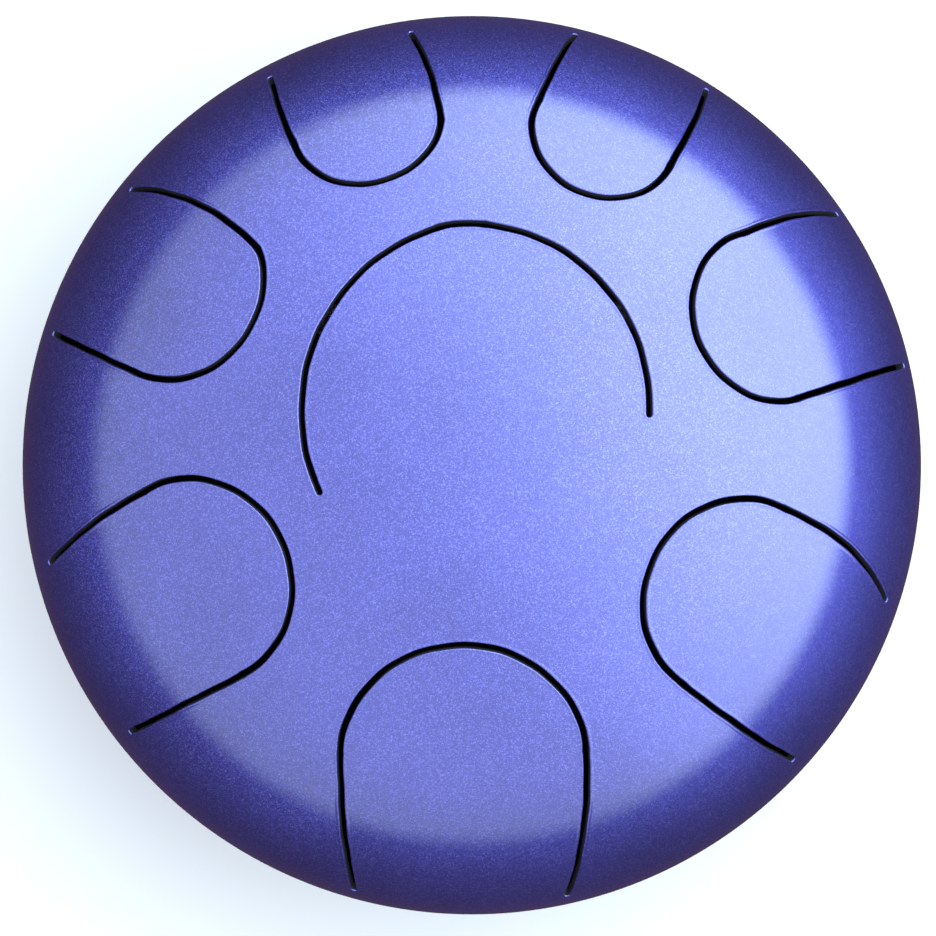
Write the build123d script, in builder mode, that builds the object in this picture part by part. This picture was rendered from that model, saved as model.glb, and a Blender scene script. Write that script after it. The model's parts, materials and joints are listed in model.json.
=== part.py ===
from build123d import *
import os
from math import atan2, cos, degrees, hypot, radians, sin, sqrt

# Steel tongue drum: a welded shell of two dished heads, eight sprung tongues sawn into the
# upper one, a sound port underneath and four bolted rubber feet.
# Millimetres. Origin on the floor under the middle of the drum, +Z up, the player sits at -Y.

# ---- shell ----
drum_radius = 150.0
head_rise = 75.0            # 2:1 elliptical head
wall = 3.0
flange = 12.0               # straight skirt below each head
ground_gap = 8.0            # floor to the lowest point of the full lower head
seam_height = ground_gap + head_rise + flange
upper_spring = seam_height + flange
lower_spring = seam_height - flange
weld_gap = 2.0
weld_crown = 0.3
ring_width = 20.0
ring_thickness = 2.0
port_radius = 45.0
port_edge = 1.0

# ---- tongues ----
kerf = 1.9                  # width of the sawn slots
root_gap = 0.2              # clearance that stands for the bending line of a tongue
plane_radius = 110.0        # the slots are cut square to the dome at this distance from its axis
cut_depth = 60.0
root_cut_depth = 30.0

# Slot of each outer tongue: root (distance from the drum's axis, azimuths of its left and right ends), then
# left side, left shoulder, tip, right shoulder and right side, each (distance from the axis, azimuth).
outer_tongues = {
    "tongue_south": (
        (145, 282.5, 254.5),
        (121, 287.5), (98, 292), (57, 268), (102, 245.5), (122, 250),
    ),
    "tongue_south_west": (
        (142, 218, 193),
        (119, 220), (99, 222.5), (66, 209), (105.5, 184.5), (123, 188.5),
    ),
    "tongue_south_east": (
        (143, 342, 317.5),
        (121.5, 348.5), (101.5, 352), (65, 330.5), (97.5, 314), (118.5, 315.5),
    ),
    "tongue_west": (
        (144, 162.5, 141),
        (128, 163.5), (112.5, 164.5), (83, 149.5), (97.5, 134.5), (120, 136),
    ),
    "tongue_east": (
        (146, 34.5, 13),
        (131, 38), (115.5, 40.5), (83, 31), (107, 11.5), (125.5, 12.5),
    ),
    "tongue_north_west": (
        (143.5, 117.5, 98),
        (129.5, 118.5), (119, 119), (96, 110.5), (111.5, 95), (127, 96),
    ),
    "tongue_north_east": (
        (146, 76.5, 58),
        (130.5, 78.5), (120, 79.5), (94, 67), (115.5, 56.5), (131, 57),
    ),
}
centre_plane_radius = 22.5
# Slot of the centre tongue from its right end to its left end, each (distance from the axis, azimuth).
centre_outline = ((58.5, 16), (71, 54), (77, 95), (64.5, 139), (49, 190))

# ---- feet ----
foot_ring_radius = 75.0
foot_azimuths = (45, 135, 225, 315)
foot_radius = 15.0
foot_taper = 6.0
foot_seat = 6.0             # rubber between the shell and the screw head
foot_edge = 1.5
recess_radius = 6.6
screw_radius = 2.5
screw_clearance = 2.7
screw_length = 21.0
head_radius = 4.75
head_height = 3.0
socket_width = 3.0
socket_depth = 1.8
washer_radius = 6.0
washer_thickness = 1.0
nut_width = 8.0
nut_height = 4.0
collar_radius = 3.3
collar_height = 1.0

os.makedirs("parts", exist_ok=True)


def dome_plane(radius, azimuth, spring, upward):
    """Plane touching a head at a distance from the axis, local X running down towards the rim."""
    height = head_rise * sqrt(1 - (radius / drum_radius) ** 2)
    steepness = atan2(radius / drum_radius**2, height / head_rise**2)
    around = radians(azimuth)
    out = Vector(cos(around), sin(around), 0)
    up = Vector(0, 0, upward)
    origin = out * radius + up * height + Vector(0, 0, spring)
    return Plane(
        origin=origin,
        x_dir=out * cos(steepness) - up * sin(steepness),
        z_dir=out * sin(steepness) + up * cos(steepness),
    )


def drop_to_dome(plane, x, y):
    """How far along the plane's normal the upper head lies from a point of the plane."""
    scale = Vector(1 / drum_radius, 1 / drum_radius, 1 / head_rise)
    start = plane.from_local_coords(Vector(x, y, 0)) - Vector(0, 0, upper_spring)
    along = plane.z_dir
    p = Vector(start.X * scale.X, start.Y * scale.Y, start.Z * scale.Z)
    q = Vector(along.X * scale.X, along.Y * scale.Y, along.Z * scale.Z)
    half = p.dot(q)
    return (sqrt(half**2 - q.dot(q) * (p.dot(p) - 1)) - half) / q.dot(q)


def root_plane(plane, left, right):
    """Plane through both slot ends and square to the dome; local X runs along the root."""
    ends = []
    for x, y in (left, right):
        ends.append(plane.from_local_coords(Vector(x, y, drop_to_dome(plane, x, y))))
    middle = (ends[0] + ends[1]) * 0.5
    distance = hypot(ends[0].X, ends[0].Y)
    normal = dome_plane(distance, degrees(atan2(middle.Y, middle.X)), upper_spring, 1).z_dir
    along = (ends[0] - ends[1]).normalized()
    square = normal - along * normal.dot(along)
    return Plane(origin=middle - square.normalized() * wall / 2, x_dir=along, z_dir=square)


def head_solid(radius, rise, spring, upward):
    """Solid inside one head and its skirt, as far as the seam."""
    edge = spring - upward * (flange - weld_gap / 2)
    crown = (0, spring + upward * rise)
    corner = (radius, spring + upward * rise)
    with BuildPart(mode=Mode.PRIVATE) as head:
        with BuildSketch(Plane.XZ):
            with BuildLine():
                Polyline(crown, (0, edge), (radius, edge), (radius, spring))
                Bezier((radius, spring), corner, crown, weights=(1, sqrt(1 / 2), 1))
            make_face()
        revolve(axis=Axis.Z)
    return head.part


def root_cut(plane, left, right):
    """Thin slab that parts a tongue from the shell along its bending line."""
    length = hypot(left[0] - right[0], left[1] - right[1])
    with BuildPart(root_plane(plane, left, right), mode=Mode.PRIVATE) as cut:
        Box(length, root_gap, root_cut_depth)
    return cut.part


def plane_point(plane, radius, azimuth):
    """Where a point of the upper head falls square onto a cutting plane."""
    around = radians(azimuth)
    height = upper_spring + head_rise * sqrt(1 - (radius / drum_radius) ** 2)
    local = plane.to_local_coords(Vector(radius * cos(around), radius * sin(around), height))
    return (local.X, local.Y)


def tongue_plane(root):
    """Cutting plane of an outer tongue, facing the middle of its root."""
    return dome_plane(plane_radius, (root[1] + root[2]) / 2, upper_spring, 1)


def outer_slot(root, *middle_line):
    """Sawn slot round an outer tongue, with the bending line that closes it."""
    plane = tongue_plane(root)
    left_end = plane_point(plane, root[0], root[1])
    right_end = plane_point(plane, root[0], root[2])
    left_side, left, tip, right, right_side = [plane_point(plane, *point) for point in middle_line]
    with BuildPart(mode=Mode.PRIVATE) as cut:
        with BuildSketch(plane):
            with BuildLine():
                ThreePointArc(left_end, left_side, left)
                ThreePointArc(left, tip, right)
                ThreePointArc(right, right_side, right_end)
                offset(amount=kerf / 2, side=Side.BOTH, mode=Mode.REPLACE)
            make_face()
        extrude(amount=cut_depth, both=True)
        add(root_cut(plane, left_end, right_end))
    return cut.part


def centre_slot():
    """Sawn slot round the centre tongue, two arcs closed by the bending line."""
    plane = dome_plane(centre_plane_radius, 90, upper_spring, 1)
    points = [plane_point(plane, *point) for point in centre_outline]
    with BuildPart(mode=Mode.PRIVATE) as cut:
        with BuildSketch(plane):
            with BuildLine():
                ThreePointArc(*points[0:3])
                ThreePointArc(*points[2:5])
                offset(amount=kerf / 2, side=Side.BOTH, mode=Mode.REPLACE)
            make_face()
        extrude(amount=cut_depth, both=True)
        add(root_cut(plane, points[4], points[0]))
    return cut.part


# ---- upper head, sawn into the shell and its tongues ----
with BuildPart() as sawn_dome:
    add(head_solid(drum_radius, head_rise, upper_spring, 1))
    add(head_solid(drum_radius - wall, head_rise - wall, upper_spring, 1), mode=Mode.SUBTRACT)
    add(centre_slot(), mode=Mode.SUBTRACT)
    for outline in outer_tongues.values():
        add(outer_slot(*outline), mode=Mode.SUBTRACT)

solids = sawn_dome.part.solids().sort_by(SortBy.VOLUME)

with BuildPart() as top_shell:
    add(solids[-1])
top_shell.part.label = "top_shell"
export_step(top_shell.part, "parts/top_shell.step")

tongue_spots = {"tongue_centre": dome_plane(centre_plane_radius, 90, upper_spring, 1).origin}
for tongue_name, outline in outer_tongues.items():
    tongue_spots[tongue_name] = tongue_plane(outline[0]).origin
for tongue_name, spot in tongue_spots.items():
    with BuildPart() as tongue:
        add(min(solids[:-1], key=lambda piece: (piece.center() - spot).length))
    tongue.part.label = tongue_name
    export_step(tongue.part, f"parts/{tongue_name}.step")


# ---- lower head with the sound port and the screw holes of the feet ----
lower_outside = head_solid(drum_radius, head_rise, lower_spring, -1)
lower_inside = head_solid(drum_radius - wall, head_rise - wall, lower_spring, -1)
foot_planes = [dome_plane(foot_ring_radius, azimuth, lower_spring, -1) for azimuth in foot_azimuths]

with BuildPart() as bottom_shell:
    add(lower_outside)
    add(lower_inside, mode=Mode.SUBTRACT)
    Cylinder(port_radius, 2 * head_rise, mode=Mode.SUBTRACT)
    fillet(bottom_shell.edges().filter_by(GeomType.CIRCLE).group_by(Axis.Z)[0:2], port_edge)
    with Locations(*foot_planes):
        Cylinder(screw_clearance, 6 * wall, mode=Mode.SUBTRACT)
bottom_shell.part.label = "bottom_shell"
export_step(bottom_shell.part, "parts/bottom_shell.step")


# ---- girth weld and the strip that backs it ----
with BuildPart() as girth_weld:
    with BuildSketch(Plane.XZ):
        with Locations((drum_radius - wall / 2, seam_height)):
            Rectangle(wall, weld_gap)
        with Locations((drum_radius, seam_height)):
            Ellipse(weld_crown, weld_gap / 2)
    revolve(axis=Axis.Z)
girth_weld.part.label = "girth_weld"
export_step(girth_weld.part, "parts/girth_weld.step")

with BuildPart() as backing_ring:
    with BuildSketch(Plane.XZ):
        with Locations((drum_radius - wall - ring_thickness / 2, seam_height)):
            RectangleRounded(ring_thickness, ring_width, ring_thickness / 4)
    revolve(axis=Axis.Z)
backing_ring.part.label = "backing_ring"
export_step(backing_ring.part, "parts/backing_ring.step")


# ---- rubber feet, square to the lower head and flat on the floor ----
foot_length = 2 * ground_gap + head_rise / 5
for number, foot_plane in enumerate(foot_planes, start=1):
    with BuildPart() as foot:
        with BuildSketch(foot_plane.offset(-wall / 2)):
            Circle(foot_radius)
        extrude(amount=foot_length, taper=foot_taper)
        split(bisect_by=Plane.XY, keep=Keep.TOP)
        fillet(foot.edges().group_by(Axis.Z)[0], foot_edge)
        with BuildSketch(foot_plane.offset(foot_seat)):
            Circle(recess_radius)
        extrude(amount=foot_length, mode=Mode.SUBTRACT)
        with BuildSketch(foot_plane.offset(-wall)):
            Circle(screw_clearance)
        extrude(amount=foot_length, mode=Mode.SUBTRACT)
        add(lower_outside, mode=Mode.SUBTRACT)
    foot.part.label = f"foot_{number}"
    export_step(foot.part, f"parts/foot_{number}.step")


# ---- fasteners, one of each at every foot ----
with BuildPart() as foot_washers:
    for foot_plane in foot_planes:
        with BuildSketch(foot_plane.offset(foot_seat)):
            Circle(washer_radius)
            Circle(screw_clearance, mode=Mode.SUBTRACT)
        extrude(amount=washer_thickness)
foot_washers.part.label = "foot_washers"
export_step(foot_washers.part, "parts/foot_washers.step")

with BuildPart() as foot_screws:
    for foot_plane in foot_planes:
        seat = foot_plane.offset(foot_seat + washer_thickness)
        with BuildSketch(seat):
            Circle(head_radius)
        extrude(amount=head_height)
        with BuildSketch(seat):
            Circle(screw_radius)
        extrude(amount=-screw_length)
        with BuildSketch(seat.offset(head_height)):
            RegularPolygon(socket_width / 2, 6, major_radius=False)
        extrude(amount=-socket_depth, mode=Mode.SUBTRACT)
foot_screws.part.label = "foot_screws"
export_step(foot_screws.part, "parts/foot_screws.step")

with BuildPart() as shell_washers:
    for foot_plane in foot_planes:
        with BuildSketch(foot_plane.offset(-wall)):
            Circle(washer_radius)
            Circle(screw_clearance, mode=Mode.SUBTRACT)
        extrude(amount=-washer_thickness)
shell_washers.part.label = "shell_washers"
export_step(shell_washers.part, "parts/shell_washers.step")

with BuildPart() as lock_nuts:
    for foot_plane in foot_planes:
        seat = foot_plane.offset(-wall - washer_thickness)
        with BuildSketch(seat):
            RegularPolygon(nut_width / 2, 6, major_radius=False)
            Circle(screw_radius, mode=Mode.SUBTRACT)
        extrude(amount=-nut_height)
        with BuildSketch(seat.offset(-nut_height)):
            Circle(collar_radius)
            Circle(screw_radius, mode=Mode.SUBTRACT)
        extrude(amount=-collar_height)
lock_nuts.part.label = "lock_nuts"
export_step(lock_nuts.part, "parts/lock_nuts.step")
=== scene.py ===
import json
from math import atan2, cos, hypot, pi, radians, sin, sqrt

import bpy
import numpy as np
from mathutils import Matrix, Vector
from mathutils.geometry import delaunay_2d_cdt


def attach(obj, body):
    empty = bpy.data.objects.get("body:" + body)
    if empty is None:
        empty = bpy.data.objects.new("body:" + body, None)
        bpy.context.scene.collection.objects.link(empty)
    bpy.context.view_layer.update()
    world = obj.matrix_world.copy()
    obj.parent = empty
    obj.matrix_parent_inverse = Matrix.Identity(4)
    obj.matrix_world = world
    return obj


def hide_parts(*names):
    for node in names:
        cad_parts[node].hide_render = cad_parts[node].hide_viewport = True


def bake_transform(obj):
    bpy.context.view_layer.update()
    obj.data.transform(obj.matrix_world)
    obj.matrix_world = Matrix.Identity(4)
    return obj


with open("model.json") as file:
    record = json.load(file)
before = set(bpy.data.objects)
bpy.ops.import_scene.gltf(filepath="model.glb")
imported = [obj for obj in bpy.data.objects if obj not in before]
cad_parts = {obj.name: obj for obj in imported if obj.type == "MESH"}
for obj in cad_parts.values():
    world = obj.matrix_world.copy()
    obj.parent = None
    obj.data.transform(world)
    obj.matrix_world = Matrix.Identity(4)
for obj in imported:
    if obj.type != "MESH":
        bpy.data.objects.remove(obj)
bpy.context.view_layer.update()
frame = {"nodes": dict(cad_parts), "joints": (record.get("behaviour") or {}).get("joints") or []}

# Steel tongue drum. Shape sizes are millimetres until a mesh is made; the bend, the floor and the camera's
# place are metres. +Z up, the player at -Y.

MM = 0.001

# ---- shell ----
RADIUS = 150.0
RISE = 75.0
WALL = 3.0
FLANGE = 12.0
GROUND_GAP = 8.0
SEAM = GROUND_GAP + RISE + FLANGE           # height of the middle of the girth weld
UPPER_SPRING = SEAM + FLANGE
LOWER_SPRING = SEAM - FLANGE
WELD_HALF = 1.0             # half of the gap that the weld fills
PORT_RADIUS = 45.0
PORT_EDGE = 1.0             # radius of both rounded edges of the port
PORT_EDGE_INSIDE = 0.75     # middle of the inner rounding, below the inside skin
PORT_EDGE_OUTSIDE = 1.3     # middle of the outer rounding, above the outside skin

# ---- weld bead and backing strip ----
BEAD_SINK = 0.1             # middle of the bead's arc, inside the drum's radius
BEAD_CROWN = 0.36
BEAD_HALF_WIDTH = 1.25
BEAD_TURN = 1.28            # half of the bead's arc, radians
BEAD_SHORT = 0.2            # its inner face stops this far short of the inside skin
RIPPLE_DEPTH = 0.07
RIPPLES = 310
RIPPLE_DRIFTS = 7           # times round the drum that the ripples crowd together
STRIP_THICKNESS = 2.0
STRIP_HALF_WIDTH = 10.0
STRIP_CORNER = 0.5

# ---- tongues ----
KERF = 1.9
PLANE_RADIUS = 110.0        # where an outer slot's cutting plane touches the dome, distance from the axis
# Slot of each outer tongue: root (distance from the drum's axis, azimuths of its left and right ends), then
# left side, left shoulder, tip, right shoulder and right side, each (distance from the axis, azimuth).
# Left and right are as seen from the axis, looking out.
OUTER_TONGUES = {
    "tongue_south": (
        (145, 282.5, 254.5),
        (121, 287.5), (98, 292), (57, 268), (102, 245.5), (122, 250),
    ),
    "tongue_south_west": (
        (142, 218, 193),
        (119, 220), (99, 222.5), (66, 209), (105.5, 184.5), (123, 188.5),
    ),
    "tongue_south_east": (
        (143, 342, 317.5),
        (121.5, 348.5), (101.5, 352), (65, 330.5), (97.5, 314), (118.5, 315.5),
    ),
    "tongue_west": (
        (144, 162.5, 141),
        (128, 163.5), (112.5, 164.5), (83, 149.5), (97.5, 134.5), (120, 136),
    ),
    "tongue_east": (
        (146, 34.5, 13),
        (131, 38), (115.5, 40.5), (83, 31), (107, 11.5), (125.5, 12.5),
    ),
    "tongue_north_west": (
        (143.5, 117.5, 98),
        (129.5, 118.5), (119, 119), (96, 110.5), (111.5, 95), (127, 96),
    ),
    "tongue_north_east": (
        (146, 76.5, 58),
        (130.5, 78.5), (120, 79.5), (94, 67), (115.5, 56.5), (131, 57),
    ),
}
CENTRE_PLANE_RADIUS = 22.5  # where the centre slot's plane touches it, towards +Y
# Slot of the centre tongue from its right end to its left end, each (distance from the axis, azimuth).
CENTRE_OUTLINE = ((58.5, 16), (71, 54), (77, 95), (64.5, 139), (49, 190))

# ---- how the slots were sawn ----
OUTER_EASING = 4.0          # lengths over which the corners of the sawn lines are eased
CENTRE_EASING = 8.0
CENTRE_RESTARTS = (88.0, 103.0)             # distances along the centre slot where the saw was set in again
LINE_WAVERS = ((0.09, 5.3, 1.0), (0.06, 2.1, 2.7))  # size, length and phase of the waver of the line
KERF_WAVER = (0.05, 8.7, 1.3)               # the same, of half the slot's width
LINE_FADE = 6.0             # from a slot's end, the length over which its line stops wavering
KERF_EVEN = 3.0             # from a slot's end, the length over which its width is even
RESTART_BITE = 0.16         # extra half width where the saw was set in, and its length
RESTART_LENGTH = 0.9

# ---- slot edges ----
EDGE_RADIUS = 0.45          # rounding of the painted edge
LIP_REACH = 1.3             # paint lip beside the edge, and its height
LIP_HEIGHT = 0.10
LIP_SHARES = (0.72, 0.5, 0.3)               # where its rows lie, as shares of its width
EDGE_ROWS = 4               # steps round the painted edge
INNER_BEVEL = 0.2           # of a slot's edge on the inside of the drum

# ---- mesh fineness ----
MERIDIAN_POINTS = 4001      # of the curve that is measured to unroll the head
STEP = 2.6                  # between points of the head, of a slot's edge, of a path and of an arc
SLOT_STEP = 1.3
PATH_STEP = 0.25
ARC_STEP = 0.4
AROUND = 480                # points round the drum
WELD_AROUND = 1440
MERIDIAN_ROWS = 90
BEAD_ROWS = 11
CAP_ROWS = 9
SKIRT_ROWS = (-1.0, 1.0, 4.0, 7.5)          # rows of points below the end of the head
EVEN_BAND = 30.0            # band at the end of the head with as many points round as the rim
SLOT_CLEARANCE = 1.1        # of the head's points from the slot edges
WAY_STEP = 0.05             # short step that shows a direction on the dome
BATCH = 2000                # points tested against the lines at one time

# ---- looks ----
FLAKE_DARK = (0.075, 0.072, 0.44)
FLAKE_MIDDLE = (0.105, 0.107, 0.57)
FLAKE_MIDDLE_AT = 0.72
FLAKE_BRIGHT = (0.22, 0.23, 0.84)
FLAKE_SCALE = 3400.0
FLAKE_LEAN = 0.15           # how far the flakes tip the reflection
FLOOR_COLOR = (0.95, 0.91, 0.93, 1)
FLOOR_HALF = 6.0
FILL_LIGHT = (0.92, 1.03, 1.12, 1)
KEY_LIGHT = (3.0, 3.7, 3.8, 1)
KEY_SIDE = (0.87, 0.5, 0.0)
KEY_STEP = (-0.3, 1.0)      # where the fill turns into the key light
LOW_LIGHT = (0.085, 0.05, 0.07, 1)
LOW_STEP = (0.17, 0.36)     # where the low light turns into the dome

# ---- camera ----
CAMERA_HEIGHT = 1.395
PICTURE_WIDTH = 0.31595     # of the girth's plane, seen across the picture
SENSOR_WIDTH = 36.0         # millimetres, as is the lens
CAMERA_SHIFT = (-0.0041, -0.0030)


# ---------------------------------------------------------------- dome geometry


def dome_frame(radius, azimuth):
    """Origin, downhill, sideways and normal vectors of the plane that touches the upper head."""
    height = RISE * sqrt(1 - (radius / RADIUS) ** 2)
    steep = atan2(radius / RADIUS**2, height / RISE**2)
    around = radians(azimuth)
    out = np.array([cos(around), sin(around), 0.0])
    up = np.array([0.0, 0.0, 1.0])
    origin = out * radius + up * (height + UPPER_SPRING)
    downhill = out * cos(steep) - up * sin(steep)
    normal = out * sin(steep) + up * cos(steep)
    return origin, downhill, np.cross(normal, downhill), normal


def onto_dome(plane, points):
    """Points of a cutting plane carried along its normal onto the outside of the dome."""
    origin, downhill, sideways, normal = plane
    start = origin + points[:, :1] * downhill + points[:, 1:2] * sideways
    scale = np.array([1 / RADIUS, 1 / RADIUS, 1 / RISE])
    p = (start - [0, 0, UPPER_SPRING]) * scale
    q = normal * scale
    half = p @ q
    reach = (np.sqrt(half**2 - (q @ q) * ((p * p).sum(1) - 1)) - half) / (q @ q)
    return start + reach[:, None] * normal


def dome_normals(points):
    """Outward normals of the head and of the skirt below it."""
    rise = np.maximum(points[:, 2] - UPPER_SPRING, 0.0)
    normals = np.c_[points[:, :2] / RADIUS**2, rise / RISE**2]
    return normals / np.linalg.norm(normals, axis=1)[:, None]


TURN = np.linspace(0, pi / 2, MERIDIAN_POINTS)
MERIDIAN_R = RADIUS * np.sin(TURN)
MERIDIAN_Z = RISE * np.cos(TURN)
MERIDIAN_S = np.r_[0, np.cumsum(np.hypot(np.diff(MERIDIAN_R), np.diff(MERIDIAN_Z)))]
HEAD_LENGTH = MERIDIAN_S[-1]
SKIRT_LENGTH = FLANGE - WELD_HALF


def unroll(points):
    """Flat map of the outside of the upper half: distance along the meridian and azimuth kept."""
    r = np.hypot(points[:, 0], points[:, 1])
    s = np.interp(r, MERIDIAN_R, MERIDIAN_S)
    below = UPPER_SPRING - points[:, 2]
    s = np.where(below > 1e-6, HEAD_LENGTH + below, s)
    return points[:, :2] / np.maximum(r, 1e-9)[:, None] * s[:, None]


def roll(flat):
    """Back from the flat map to the outside of the upper half."""
    s = np.hypot(flat[:, 0], flat[:, 1])
    r = np.interp(s, MERIDIAN_S, MERIDIAN_R)
    z = np.interp(s, MERIDIAN_S, MERIDIAN_Z) - np.maximum(s - HEAD_LENGTH, 0.0)
    unit = flat / np.maximum(s, 1e-9)[:, None]
    return np.c_[unit * r[:, None], UPPER_SPRING + z]


def arc_points(a, b, c):
    """Points along the arc from a through b to c."""
    (ax, ay), (bx, by), (cx, cy) = a, b, c
    d = 2 * (ax * (by - cy) + bx * (cy - ay) + cx * (ay - by))
    ux = ((ax**2 + ay**2) * (by - cy) + (bx**2 + by**2) * (cy - ay) + (cx**2 + cy**2) * (ay - by)) / d
    uy = ((ax**2 + ay**2) * (cx - bx) + (bx**2 + by**2) * (ax - cx) + (cx**2 + cy**2) * (bx - ax)) / d
    r = hypot(ax - ux, ay - uy)
    start = atan2(ay - uy, ax - ux)
    through = (atan2(by - uy, bx - ux) - start) % (2 * pi)
    end = (atan2(cy - uy, cx - ux) - start) % (2 * pi)
    turn = end if through < end else end - 2 * pi
    count = max(3, int(abs(turn) * r / ARC_STEP))
    angles = start + np.linspace(0, turn, count)
    return np.c_[ux + r * np.cos(angles), uy + r * np.sin(angles)]


def smoothed(path, reach):
    """The path with its corners eased over a short distance and its ends kept."""
    steps = np.r_[0, np.cumsum(np.hypot(*np.diff(path, axis=0).T))]
    even = np.linspace(0, steps[-1], int(steps[-1] / PATH_STEP) + 1)
    dense = np.c_[np.interp(even, steps, path[:, 0]), np.interp(even, steps, path[:, 1])]
    width = max(1, int(reach / PATH_STEP))
    weights = np.hanning(2 * width + 3)[1:-1]
    weights /= weights.sum()
    first = 2 * dense[0] - dense[width:0:-1]
    last = 2 * dense[-1] - dense[-2 : -2 - width : -1]
    padded = np.r_[first, dense, last]
    return np.c_[np.convolve(padded[:, 0], weights, "valid"), np.convolve(padded[:, 1], weights, "valid")]


def hand_sawn(path, seed):
    """Slight waver of a slot sawn by hand along a scribed line."""
    steps = np.r_[0, np.cumsum(np.hypot(*np.diff(path, axis=0).T))]
    tangent = np.gradient(path, axis=0)
    tangent /= np.linalg.norm(tangent, axis=1)[:, None]
    side = np.c_[-tangent[:, 1], tangent[:, 0]]
    waver = sum(size * np.sin(steps / length + phase * seed) for size, length, phase in LINE_WAVERS)
    fade = np.clip(np.minimum(steps, steps[-1] - steps) / LINE_FADE, 0, 1)
    return path + side * (waver * fade)[:, None]


def plane_point(plane, radius, azimuth):
    """Where a point of the upper head falls square onto a cutting plane."""
    origin, downhill, sideways, _ = plane
    around = radians(azimuth)
    height = UPPER_SPRING + RISE * sqrt(1 - (radius / RADIUS) ** 2)
    reach = np.array([radius * cos(around), radius * sin(around), height]) - origin
    return float(reach @ downhill), float(reach @ sideways)


def name_seed(name):
    """Number that gives each slot a waver of its own."""
    return sum(ord(letter) for letter in name)


def length_of(path):
    """Length of a path."""
    return np.hypot(*np.diff(path, axis=0).T).sum()


def slot_path(name):
    """Cutting plane, middle line of a slot from one end round the tip to the other, and the distances
    along it where the saw was set in again."""
    seed = name_seed(name)
    if name == "tongue_centre":
        plane = dome_frame(CENTRE_PLANE_RADIUS, 90)
        around = [plane_point(plane, *point) for point in CENTRE_OUTLINE]
        path = np.r_[arc_points(*around[0:3]), arc_points(*around[2:5])[1:]]
        return plane, hand_sawn(smoothed(path, CENTRE_EASING), seed), CENTRE_RESTARTS
    root, *middle_line = OUTER_TONGUES[name]
    plane = dome_frame(PLANE_RADIUS, (root[1] + root[2]) / 2)
    left_side, left, tip, right, right_side = [plane_point(plane, *point) for point in middle_line]
    first = arc_points(plane_point(plane, root[0], root[1]), left_side, left)
    last = arc_points(right, right_side, plane_point(plane, root[0], root[2]))
    path = smoothed(np.r_[first, arc_points(left, tip, right)[1:], last[1:]], OUTER_EASING)
    restarts = (length_of(first), length_of(path) - length_of(last))
    return plane, hand_sawn(path, seed), restarts


def slot_outline(path, restarts, seed):
    """Closed edge of the slot with round ends, sampled evenly; each point's direction into the metal;
    and how many points lie on the tongue's side, between the two root points."""
    tangent = np.gradient(path, axis=0)
    tangent /= np.linalg.norm(tangent, axis=1)[:, None]
    left = np.c_[-tangent[:, 1], tangent[:, 0]]
    steps = np.r_[0, np.cumsum(np.hypot(*np.diff(path, axis=0).T))]
    size, length, phase = KERF_WAVER
    half = KERF / 2 + size * np.sin(steps / length + phase * seed)
    for restart in restarts:
        half = half + RESTART_BITE * np.exp(-(((steps - restart) / RESTART_LENGTH) ** 2))
    half = np.where(np.minimum(steps, steps[-1] - steps) < KERF_EVEN, KERF / 2, half)
    pick = np.linspace(0, len(path) - 1, int(steps[-1] / SLOT_STEP)).astype(int)
    inner = path + left * half[:, None]
    outer = path - left * half[:, None]
    centre = path.mean(0)
    swapped = np.linalg.norm(inner[len(path) // 2] - centre) > np.linalg.norm(outer[len(path) // 2] - centre)
    sign = -1.0 if swapped else 1.0
    if swapped:
        inner, outer = outer, inner
    tongue_side = inner[pick]
    tongue_way = sign * left[pick]
    shell_side = outer[pick][::-1]
    shell_way = -sign * left[pick][::-1]

    def cap(centre_point, start_way, end_way, through):
        """Half circle that ends the slot, and the directions of its points."""
        a0 = atan2(start_way[1], start_way[0])
        a1 = (atan2(end_way[1], end_way[0]) - a0) % (2 * pi)
        at = (atan2(through[1], through[0]) - a0) % (2 * pi)
        turn = a1 if at < a1 else a1 - 2 * pi
        angles = a0 + np.linspace(0, turn, CAP_ROWS)[1:-1]
        way = np.c_[np.cos(angles), np.sin(angles)]
        return centre_point + way * KERF / 2, way

    far_cap, far_way = cap(path[-1], tongue_way[-1], -tongue_way[-1], tangent[-1])
    near_cap, near_way = cap(path[0], -tongue_way[0], tongue_way[0], -tangent[0])
    points = np.r_[tongue_side, far_cap, shell_side, near_cap]
    ways = np.r_[tongue_way, far_way, shell_way, near_way]
    return points, ways, len(tongue_side)


def edge_profile():
    """Raised, rounded paint edge beside a slot: distance from the wall, height and both normal parts."""
    rows = [(LIP_REACH, 0.0, 0.0, 1.0)]
    for share in LIP_SHARES:
        distance = EDGE_RADIUS + (LIP_REACH - EDGE_RADIUS) * share
        rise = LIP_HEIGHT * (0.5 + 0.5 * cos(pi * share))
        slope = LIP_HEIGHT * 0.5 * pi * sin(pi * share) / (LIP_REACH - EDGE_RADIUS)
        rows.append((distance, rise, slope, 1.0))
    for k in range(EDGE_ROWS + 1):
        turn = pi / 2 * k / EDGE_ROWS
        height = LIP_HEIGHT - EDGE_RADIUS * (1 - cos(turn))
        rows.append((EDGE_RADIUS * (1 - sin(turn)), height, -sin(turn), cos(turn)))
    return rows


def edge_columns(plane, points, ways):
    """Rows of the rounded slot edge and its square wall, from the outside skin to the inside skin."""
    base = onto_dome(plane, points)
    ahead = onto_dome(plane, points + WAY_STEP * ways)
    n = dome_normals(base)
    into = ahead - base
    into -= n * (into * n).sum(1)[:, None]
    into /= np.linalg.norm(into, axis=1)[:, None]
    rows = []
    for distance, height, outward, upward in edge_profile():
        way = into * outward + n * upward
        way /= np.linalg.norm(way, axis=1)[:, None]
        rows.append((base + into * distance + n * height, way))
    rows.append((base - n * (WALL / 2), -into))
    rows.append((base - n * (WALL - INNER_BEVEL), -into))
    rows.append((base - n * WALL + into * INNER_BEVEL, -n))
    return rows


# ---------------------------------------------------------------- upper half: shell and tongues


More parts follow.
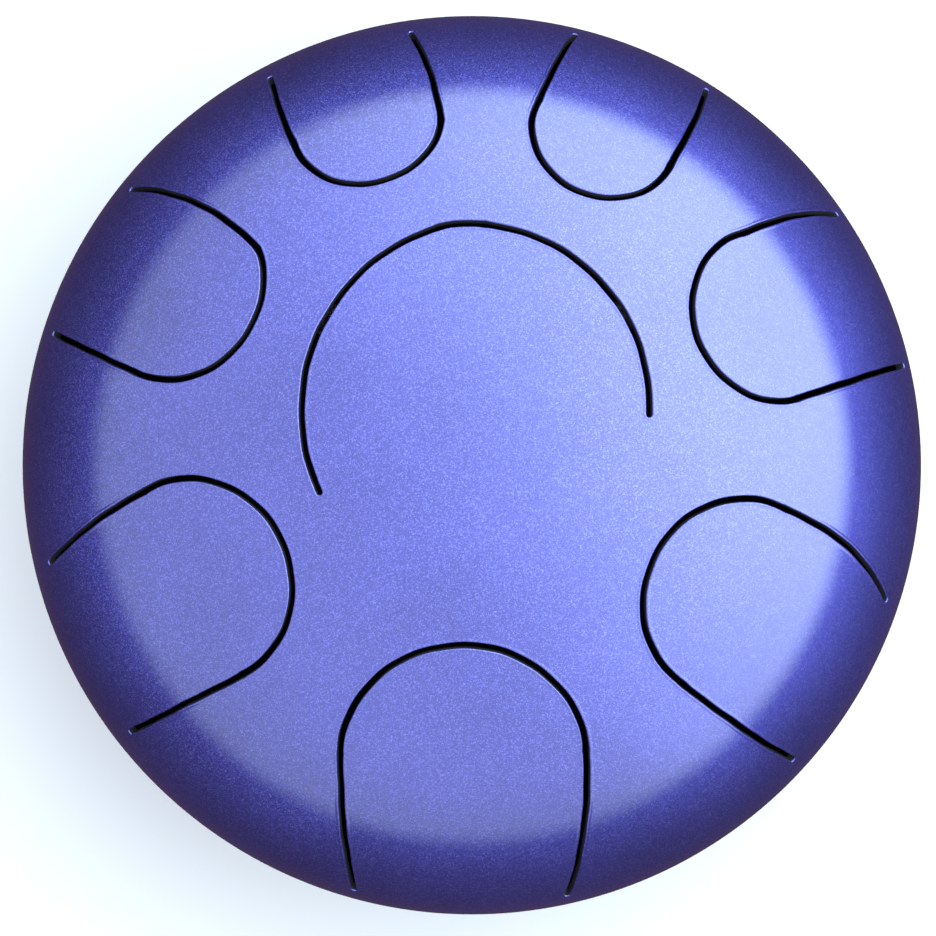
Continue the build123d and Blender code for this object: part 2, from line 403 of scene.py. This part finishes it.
def root_line(plane, start, end):
    """Points across the root of a tongue, straight between the two slot ends."""
    count = max(8, int(np.linalg.norm(end - start) / SLOT_STEP))
    across = start + (end - start) * np.linspace(0, 1, count)[1:-1, None]
    return onto_dome(plane, across)


def inside_polygon(points, polygon):
    """Which points lie inside a closed polygon."""
    x, y = points[:, 0], points[:, 1]
    inside = np.zeros(len(points), bool)
    x0, y0 = polygon[-1]
    for x1, y1 in polygon:
        crosses = (y1 > y) != (y0 > y)
        slope = (x0 - x1) * (y - y1) / ((y0 - y1) if y0 != y1 else 1e-12) + x1
        inside ^= crosses & (x < slope)
        x0, y0 = x1, y1
    return inside


def make_mesh(name, points, faces, normals=None, dark_faces=None):
    """Mesh object from millimetre points, with the surface's own normals where they are given; the
    faces that are marked take the second material, the near-black primer, which on the slot walls is painted
    shade."""
    mesh = bpy.data.meshes.new(name)
    mesh.from_pydata([tuple(p) for p in np.asarray(points) * MM], [], [tuple(f) for f in faces])
    mesh.polygons.foreach_set("use_smooth", [True] * len(mesh.polygons))
    if dark_faces is not None:
        mesh.polygons.foreach_set("material_index", [int(flag) for flag in dark_faces])
    if normals is not None:
        mesh.normals_split_custom_set_from_vertices([tuple(n) for n in normals])
    mesh.update()
    obj = bpy.data.objects.new(name, mesh)
    bpy.context.scene.collection.objects.link(obj)
    return obj


def slot_edges():
    """Each slot's rows of edge points, how many of a row lie on the tongue's side, and its root line."""
    slots = {}
    for name in ["tongue_centre"] + list(OUTER_TONGUES):
        plane, path, restarts = slot_path(name)
        points, ways, inner_count = slot_outline(path, restarts, name_seed(name))
        root = root_line(plane, points[inner_count - 1], points[0])
        slots[name] = {"rows": edge_columns(plane, points, ways), "inner": inner_count, "root": root}
    return slots


def numbered_lines(slots):
    """Flat points of all slot edges and roots, and the lines between them; each slot keeps its numbers."""
    flat = []
    lines = []
    offset = 0
    for slot in slots.values():
        ring = unroll(slot["rows"][0][0])
        across = unroll(slot["root"])
        count = len(ring)
        slot["first"] = offset
        slot["count"] = count
        lines += [(offset + i, offset + (i + 1) % count) for i in range(count)]
        offset += count
        crossing = list(range(offset, offset + len(across)))
        slot["chain"] = [slot["first"] + slot["inner"] - 1] + crossing + [slot["first"]]
        lines += list(zip(slot["chain"][:-1], slot["chain"][1:]))
        offset += len(across)
        flat += [ring, across]
    return np.concatenate(flat), lines


def spread_points():
    """Flat points over the head and the skirt, in even rings."""
    distances = list(np.arange(STEP, HEAD_LENGTH - STEP, STEP))
    distances += [HEAD_LENGTH + below for below in SKIRT_ROWS]
    rings = [np.zeros((1, 2))]
    for row, s in enumerate(distances):
        count = max(6, int(2 * pi * s / STEP)) if s < HEAD_LENGTH - EVEN_BAND else AROUND
        turn = 2 * pi * (np.arange(count) + 0.5 * (row % 2)) / count
        rings.append(s * np.c_[np.cos(turn), np.sin(turn)])
    return np.concatenate(rings)


def clear_of_lines(points, starts, ends):
    """Which points keep clear of every line."""
    along = ends - starts
    clear = np.ones(len(points), bool)
    for i in range(0, len(points), BATCH):
        p = points[i : i + BATCH]
        t = np.clip(((p[:, None] - starts) * along).sum(2) / (along * along).sum(1), 0, 1)
        gap = np.linalg.norm(p[:, None] - starts - t[..., None] * along, axis=2).min(1)
        clear[i : i + BATCH] = gap > SLOT_CLEARANCE
    return clear


def triangulated(fixed, lines):
    """Flat points and triangles of the whole upper half, and the number that each point had before, or -1."""
    turn = np.linspace(0, 2 * pi, AROUND, endpoint=False)
    rim = (HEAD_LENGTH + SKIRT_LENGTH) * np.c_[np.cos(turn), np.sin(turn)]
    rim_lines = [(len(fixed) + i, len(fixed) + (i + 1) % AROUND) for i in range(AROUND)]
    loose = spread_points()
    ends = np.array(lines)
    loose = loose[clear_of_lines(loose, fixed[ends[:, 0]], fixed[ends[:, 1]])]
    every = np.concatenate([fixed, rim, loose])
    result = delaunay_2d_cdt([Vector(p) for p in every], lines + rim_lines, [], 0, 1e-5, True)
    flat, _, triangles, origin_of = result[:4]
    origins = np.array([ids[0] if ids else -1 for ids in origin_of])
    return np.array([tuple(p) for p in flat]), np.array(triangles), origins


def regions(middle, fixed, slots):
    """Name of the piece that the middle of each triangle lies in, empty inside a slot."""
    region = np.full(len(middle), "top_shell", object)
    for slot in slots.values():
        ring = fixed[slot["first"] : slot["first"] + slot["count"]]
        region[inside_polygon(middle, ring)] = ""
    for name, slot in slots.items():
        tongue = fixed[slot["first"] : slot["first"] + slot["inner"]]
        tongue = np.r_[tongue, fixed[slot["chain"]][1:-1]]
        region[inside_polygon(middle, tongue) & (region != "")] = name
    return region


def skins(flat, origins, slots):
    """Outside and inside points of the upper half, its outward normals, and the edge rows and the place in
    them of each point on a slot's edge."""
    spots = {}
    for slot in slots.values():
        for i in range(slot["count"]):
            spots[slot["first"] + i] = (slot["rows"], i)
    edge_of = {vertex: spots[origin] for vertex, origin in enumerate(origins) if origin in spots}
    outside = roll(flat)
    for vertex, (rows, i) in edge_of.items():
        outside[vertex] = rows[0][0][i]
    normals = dome_normals(outside)
    inside = outside - normals * WALL
    for vertex, (rows, i) in edge_of.items():
        inside[vertex] = rows[-1][0][i]
    return outside, inside, normals, edge_of


def boundary_of(triangles):
    """Directed edges that only one triangle has."""
    boundary = {}
    for t in triangles:
        for u, v in ((t[0], t[1]), (t[1], t[2]), (t[2], t[0])):
            if (v, u) in boundary:
                del boundary[(v, u)]
            else:
                boundary[(u, v)] = True
    return list(boundary)


def cut_piece(name, triangles, flat, skin):
    """One piece of the upper half: both skins, and all round it the slot's edge or the cut at the root."""
    outside, inside, normals, edge_of = skin
    used = np.unique(triangles)
    shift = len(used)
    index = {vertex: i for i, vertex in enumerate(used)}
    corners = flat[triangles]
    signed = np.cross(corners[:, 1] - corners[:, 0], corners[:, 2] - corners[:, 0])
    triangles = np.where(signed[:, None] > 0, triangles, triangles[:, ::-1])
    faces = [[index[v] for v in t] for t in triangles]
    faces += [[index[v] + shift for v in t[::-1]] for t in triangles]
    dark_faces = [False] * len(triangles) + [True] * len(triangles)
    points = [outside[used], inside[used]]
    ways = [normals[used], -normals[used]]

    boundary = boundary_of(triangles)
    total = 2 * shift
    ladders = {}
    for vertex in [vertex for edge in boundary for vertex in edge]:
        if vertex in ladders:
            continue
        between = []
        if vertex in edge_of:
            rows, i = edge_of[vertex]
            points.append(np.array([row[0][i] for row in rows[1:-1]]))
            ways.append(np.array([row[1][i] for row in rows[1:-1]]))
            between = list(range(total, total + len(rows) - 2))
            total += len(between)
        ladders[vertex] = [index[vertex]] + between + [index[vertex] + shift]

    # Below the rounded paint edge the slot walls take the near-black primer: painted shade that darkens the
    # slots, though the real walls are painted violet like the rest.
    violet_rows = len(edge_profile()) - 1
    for u, v in boundary:
        if len(ladders[u]) == len(ladders[v]):
            for k in range(len(ladders[u]) - 1):
                faces.append([ladders[v][k], ladders[u][k], ladders[u][k + 1], ladders[v][k + 1]])
                dark_faces.append(k >= violet_rows)
        else:
            faces.append([*ladders[v], *ladders[u][::-1]])
            dark_faces.append(True)
    return make_mesh(name, np.concatenate(points), faces, np.concatenate(ways), dark_faces)


def upper_half():
    """Meshes of the upper shell and of the eight tongues, cut from one flat triangulation."""
    slots = slot_edges()
    fixed, lines = numbered_lines(slots)
    flat, triangles, origins = triangulated(fixed, lines)
    region = regions(flat[triangles].mean(1), fixed, slots)
    skin = skins(flat, origins, slots)
    objects = {}
    for name in ["top_shell"] + list(slots):
        objects[name] = cut_piece("steel_" + name, triangles[region == name], flat, skin)
    return objects, slots


# ---------------------------------------------------------------- turned parts


def turned(name, profile, around=AROUND, waver=None, dark_edges=()):
    """Closed ring turned about the drum's axis from a closed profile of (radius, height) points."""
    profile = np.array(profile, float)
    count = len(profile)
    turn = np.linspace(0, 2 * pi, around, endpoint=False)
    points = []
    for angle in turn:
        r = profile[:, 0] if waver is None else profile[:, 0] + waver(angle, profile)
        points.append(np.c_[r * cos(angle), r * sin(angle), profile[:, 1]])
    faces = []
    for k in range(around):
        nxt = (k + 1) % around
        for i in range(count):
            j = (i + 1) % count
            faces.append([k * count + i, nxt * count + i, nxt * count + j, k * count + j])
    dark_faces = [i in dark_edges for _ in range(around) for i in range(count)]
    return make_mesh(name, np.concatenate(points), faces, dark_faces=dark_faces)


def round_corner(centre, radius, start, end, count=6):
    """Points of a rounded corner in a profile, angles in degrees."""
    angles = np.radians(np.linspace(start, end, count))
    return [(centre[0] + radius * cos(a), centre[1] + radius * sin(a)) for a in angles]


def lower_head():
    """Lower half of the shell with the rolled edge of the sound port."""
    lowest = LOWER_SPRING - RISE * sqrt(1 - (PORT_RADIUS / RADIUS) ** 2)
    inner_radius, inner_rise = RADIUS - WALL, RISE - WALL
    inner_low = LOWER_SPRING - inner_rise * sqrt(1 - (PORT_RADIUS / inner_radius) ** 2)
    start = np.arcsin((PORT_RADIUS + PORT_EDGE) / RADIUS)
    turns = np.linspace(start, pi / 2, MERIDIAN_ROWS)
    back = np.linspace(pi / 2, start, MERIDIAN_ROWS)
    outside = [(RADIUS * sin(t), LOWER_SPRING - RISE * cos(t)) for t in turns]
    inside = [(inner_radius * sin(t), LOWER_SPRING - inner_rise * cos(t)) for t in back]
    seam_edge = [(RADIUS, SEAM - WELD_HALF), (inner_radius, SEAM - WELD_HALF)]
    lip = round_corner((PORT_RADIUS + PORT_EDGE, inner_low - PORT_EDGE_INSIDE), PORT_EDGE, 100, 180)
    lip += round_corner((PORT_RADIUS + PORT_EDGE, lowest + PORT_EDGE_OUTSIDE), PORT_EDGE, 180, 250)
    profile = outside + seam_edge + inside + lip
    first = len(outside) + 1
    return turned("steel_bottom_shell", profile, dark_edges=range(first, first + len(inside)))


def weld_bead():
    """Dressed weld round the girth, with the faint ripple left by the passes."""
    turns = np.linspace(-BEAD_TURN, BEAD_TURN, BEAD_ROWS)
    middle = RADIUS - BEAD_SINK
    crown = [(middle + BEAD_CROWN * cos(t), SEAM + BEAD_HALF_WIDTH * sin(t)) for t in turns]
    inner_radius = RADIUS - WALL + BEAD_SHORT
    inner = [(inner_radius, SEAM + WELD_HALF), (inner_radius, SEAM - WELD_HALF)]

    def ripple(angle, profile):
        outer = (profile[:, 0] > RADIUS).astype(float)
        phase = angle * RIPPLES + 2 * sin(angle * RIPPLE_DRIFTS)
        return -outer * RIPPLE_DEPTH * (0.5 + 0.5 * sin(phase))

    return turned("weld_girth", crown + inner, around=WELD_AROUND, waver=ripple)


def backing_strip():
    """Rolled strip behind the girth weld."""
    inner, outer = RADIUS - WALL - STRIP_THICKNESS + STRIP_CORNER, RADIUS - WALL - STRIP_CORNER
    low, high = SEAM - STRIP_HALF_WIDTH + STRIP_CORNER, SEAM + STRIP_HALF_WIDTH - STRIP_CORNER
    profile = []
    for quarter, middle in enumerate(((outer, low), (outer, high), (inner, high), (inner, low))):
        profile += round_corner(middle, STRIP_CORNER, 90 * quarter - 90, 90 * quarter)
    return turned("strip_backing", profile)


# ---------------------------------------------------------------- materials


def new_material(name):
    """Empty node material with its shader and output."""
    material = bpy.data.materials.new(name)
    material.use_nodes = True
    tree = material.node_tree
    tree.nodes.clear()
    out = tree.nodes.new("ShaderNodeOutputMaterial")
    shader = tree.nodes.new("ShaderNodeBsdfPrincipled")
    tree.links.new(shader.outputs[0], out.inputs[0])
    return material, tree, shader


def add_node(tree, kind, **settings):
    """Node with its properties and constant inputs set."""
    node = tree.nodes.new(kind)
    for key, value in settings.items():
        if key.startswith("in_"):
            node.inputs[key[3:].replace("_", " ")].default_value = value
        else:
            setattr(node, key, value)
    return node


def add_ramp(tree, *stops):
    """Colour ramp node from its (position, colour) stops, lowest first."""
    node = add_node(tree, "ShaderNodeValToRGB")
    elements = node.color_ramp.elements
    for k, (position, color) in enumerate((stops[0], stops[-1])):
        elements[k].position = position
        elements[k].color = (*color, 1)
    for position, color in stops[1:-1]:
        elements.new(position).color = (*color, 1)
    return node


def flake_paint():
    """Violet-blue automotive paint: fine bright flakes in a deep base under a clear coat."""
    material, tree, shader = new_material("violet_flake_paint")
    link = tree.links.new
    place = add_node(tree, "ShaderNodeTexCoord")

    flakes = add_node(tree, "ShaderNodeTexVoronoi", feature="F1", in_Scale=FLAKE_SCALE)
    link(place.outputs["Object"], flakes.inputs["Vector"])
    tilt = add_node(tree, "ShaderNodeVectorMath", operation="SUBTRACT")
    link(flakes.outputs["Color"], tilt.inputs[0])
    tilt.inputs[1].default_value = (0.5, 0.5, 0.5)
    lean = add_node(tree, "ShaderNodeVectorMath", operation="SCALE")
    link(tilt.outputs[0], lean.inputs[0])
    lean.inputs["Scale"].default_value = FLAKE_LEAN
    facing = add_node(tree, "ShaderNodeNewGeometry")
    tipped = add_node(tree, "ShaderNodeVectorMath", operation="ADD")
    link(facing.outputs["Normal"], tipped.inputs[0])
    link(lean.outputs[0], tipped.inputs[1])
    unit = add_node(tree, "ShaderNodeVectorMath", operation="NORMALIZE")
    link(tipped.outputs[0], unit.inputs[0])
    link(unit.outputs[0], shader.inputs["Normal"])

    split = add_node(tree, "ShaderNodeSeparateColor")
    link(flakes.outputs["Color"], split.inputs[0])
    tone = add_ramp(tree, (0.0, FLAKE_DARK), (FLAKE_MIDDLE_AT, FLAKE_MIDDLE), (1.0, FLAKE_BRIGHT))
    link(split.outputs[0], tone.inputs[0])

    cloud = add_node(tree, "ShaderNodeTexNoise", in_Scale=14.0, in_Detail=4.0, in_Roughness=0.6)
    link(place.outputs["Object"], cloud.inputs["Vector"])
    reach = {"in_From_Min": 0.3, "in_From_Max": 0.7, "in_To_Min": 0.86, "in_To_Max": 1.12}
    drift = add_node(tree, "ShaderNodeMapRange", **reach)
    link(cloud.outputs["Fac"], drift.inputs["Value"])
    shade = add_node(tree, "ShaderNodeVectorMath", operation="SCALE")
    link(tone.outputs[0], shade.inputs[0])
    link(drift.outputs[0], shade.inputs["Scale"])
    link(shade.outputs[0], shader.inputs["Base Color"])

    shader.inputs["Metallic"].default_value = 0.92
    shader.inputs["Roughness"].default_value = 0.45
    shader.inputs["Coat Weight"].default_value = 1.0
    shader.inputs["Coat IOR"].default_value = 1.9

    haze = add_node(tree, "ShaderNodeTexNoise", in_Scale=60.0, in_Detail=5.0)
    link(place.outputs["Object"], haze.inputs["Vector"])
    reach = {"in_From_Min": 0.35, "in_From_Max": 0.75, "in_To_Min": 0.03, "in_To_Max": 0.09}
    gloss = add_node(tree, "ShaderNodeMapRange", **reach)
    link(haze.outputs["Fac"], gloss.inputs["Value"])
    link(gloss.outputs[0], shader.inputs["Coat Roughness"])

    peel = add_node(tree, "ShaderNodeTexNoise", in_Scale=220.0, in_Detail=2.0)
    link(place.outputs["Object"], peel.inputs["Vector"])
    bump = add_node(tree, "ShaderNodeBump", in_Strength=0.06, in_Distance=0.0002)
    link(peel.outputs["Fac"], bump.inputs["Height"])
    link(bump.outputs[0], shader.inputs["Coat Normal"])
    return material


def plain_finish(name, color, metallic, roughness, grain, depth, spread=0.25):
    """Mottled tone with a fine grain, for rubber, primer (which on the slot walls is painted shade) and bare
    metal. Grain is its scale, depth its height in metres, and spread the share by which the tone strays."""
    material, tree, shader = new_material(name)
    link = tree.links.new
    place = add_node(tree, "ShaderNodeTexCoord")
    mottle = add_node(tree, "ShaderNodeTexNoise", in_Scale=grain / 6, in_Detail=5.0)
    link(place.outputs["Object"], mottle.inputs["Vector"])
    dark = [c * (1 - spread) for c in color]
    pale = [min(1, c * (1 + spread)) for c in color]
    tone = add_ramp(tree, (0.3, dark), (0.7, pale))
    link(mottle.outputs["Fac"], tone.inputs[0])
    link(tone.outputs[0], shader.inputs["Base Color"])
    shader.inputs["Metallic"].default_value = metallic
    rough = add_node(tree, "ShaderNodeMapRange", in_To_Min=roughness * 0.75, in_To_Max=roughness * 1.25)
    link(mottle.outputs["Fac"], rough.inputs["Value"])
    link(rough.outputs[0], shader.inputs["Roughness"])
    fine = add_node(tree, "ShaderNodeTexNoise", in_Scale=grain, in_Detail=3.0)
    link(place.outputs["Object"], fine.inputs["Vector"])
    bump = add_node(tree, "ShaderNodeBump", in_Strength=0.35, in_Distance=depth)
    link(fine.outputs["Fac"], bump.inputs["Height"])
    link(bump.outputs[0], shader.inputs["Normal"])
    return material


# ---------------------------------------------------------------- assembly

paint = flake_paint()
rubber = plain_finish(
    "foot_rubber", (0.028, 0.028, 0.030), metallic=0.0, roughness=0.62, grain=1800.0, depth=0.00012
)
zinc = plain_finish(
    "zinc_plate", (0.56, 0.57, 0.58), metallic=1.0, roughness=0.3, grain=900.0, depth=0.00003, spread=0.12
)
strip = plain_finish(
    "primed_strip", (0.035, 0.033, 0.036), metallic=0.0, roughness=0.8, grain=700.0, depth=0.00006, spread=0.2
)
# Near-black primer inside the drum; on the slot walls, which are painted violet, it is painted shade that
# keeps the slots dark.
primer_and_wall_shade = plain_finish(
    "inside_primer_and_slot_wall_shade", (0.022, 0.021, 0.026), metallic=0.0, roughness=0.85, grain=700.0, depth=0.00005
)

steel, slots = upper_half()
joints = {joint["child"]: joint for joint in frame["joints"]}
for name, obj in steel.items():
    obj.data.materials.append(paint)
    # Second material: primer inside, and painted shade on the slot walls.
    obj.data.materials.append(primer_and_wall_shade)
    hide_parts(name)
    if name == "top_shell":
        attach(obj, "shell")
        continue
    hinge = Vector(joints[name]["pos_m"])
    tip = Vector(slots[name]["rows"][0][0][slots[name]["inner"] // 2] * MM)
    along = Vector(joints[name]["axis"])
    out = Vector(dome_normals(np.array([hinge]) / MM)[0])
    towards = along.cross(out).normalized()
    if towards.dot(tip - hinge) < 0:
        towards = -towards
    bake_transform(obj)

bottom = lower_head()
bottom.data.materials.append(paint)
bottom.data.materials.append(primer_and_wall_shade)
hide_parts("bottom_shell")
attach(bottom, "shell")

weld = weld_bead()
weld.data.materials.append(paint)
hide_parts("girth_weld")
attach(weld, "shell")

backing = backing_strip()
backing.data.materials.append(strip)
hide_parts("backing_ring")
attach(backing, "shell")

for name, node in frame["nodes"].items():
    if name.startswith("foot_") and name[5:].isdigit():
        finish = rubber
    elif name in ("foot_screws", "lock_nuts", "foot_washers", "shell_washers"):
        finish = zinc
    else:
        continue
    node.data.materials.clear()
    node.data.materials.append(finish)


# ---------------------------------------------------------------- floor, light and camera


def floor():
    """Pale studio floor, which neither shows in the paint nor lights it."""
    mesh = bpy.data.meshes.new("floor")
    corners = [(x * FLOOR_HALF, y * FLOOR_HALF, 0) for x, y in ((-1, -1), (1, -1), (1, 1), (-1, 1))]
    mesh.from_pydata(corners, [], [(0, 1, 2, 3)])
    obj = bpy.data.objects.new("floor", mesh)
    bpy.context.scene.collection.objects.link(obj)
    material, _, shader = new_material("pale_floor")
    shader.inputs["Base Color"].default_value = FLOOR_COLOR
    shader.inputs["Roughness"].default_value = 0.9
    mesh.materials.append(material)
    obj.visible_glossy = False
    obj.visible_diffuse = False


def studio_world():
    """Plain soft studio light: a pale dome overhead, brighter on the key side, dim at table height."""
    world = bpy.data.worlds.new("studio")
    world.use_nodes = True
    tree = world.node_tree
    tree.nodes.clear()
    link = tree.links.new
    out = tree.nodes.new("ShaderNodeOutputWorld")
    glow = tree.nodes.new("ShaderNodeBackground")
    link(glow.outputs[0], out.inputs[0])
    way = add_node(tree, "ShaderNodeTexCoord").outputs["Generated"]

    def toward(vector, low, high):
        """Soft step from 0 to 1 as the direction turns towards a vector."""
        dot = add_node(tree, "ShaderNodeVectorMath", operation="DOT_PRODUCT")
        link(way, dot.inputs[0])
        dot.inputs[1].default_value = vector
        step = add_node(tree, "ShaderNodeMapRange", interpolation_type="SMOOTHSTEP")
        link(dot.outputs["Value"], step.inputs["Value"])
        step.inputs["From Min"].default_value = low
        step.inputs["From Max"].default_value = high
        return step.outputs[0]

    # The colours of a mix node are its inputs 6 and 7 and its output 2.
    dome = add_node(tree, "ShaderNodeMix", data_type="RGBA")
    link(toward(KEY_SIDE, *KEY_STEP), dome.inputs[0])
    dome.inputs[6].default_value = FILL_LIGHT
    dome.inputs[7].default_value = KEY_LIGHT
    light = add_node(tree, "ShaderNodeMix", data_type="RGBA")
    link(toward((0.0, 0.0, 1.0), *LOW_STEP), light.inputs[0])
    light.inputs[6].default_value = LOW_LIGHT
    link(dome.outputs[2], light.inputs[7])
    link(light.outputs[2], glow.inputs[0])
    bpy.context.scene.world = world


floor()
studio_world()
bpy.context.scene.view_settings.view_transform = "Standard"

camera = bpy.data.objects.new("camera", bpy.data.cameras.new("camera"))
bpy.context.scene.collection.objects.link(camera)
bpy.context.scene.camera = camera
camera.location = (0, 0, CAMERA_HEIGHT)
camera.rotation_euler = (0, 0, 0)
camera.data.sensor_width = SENSOR_WIDTH
camera.data.lens = SENSOR_WIDTH * (CAMERA_HEIGHT - SEAM * MM) / PICTURE_WIDTH
camera.data.shift_x, camera.data.shift_y = CAMERA_SHIFT
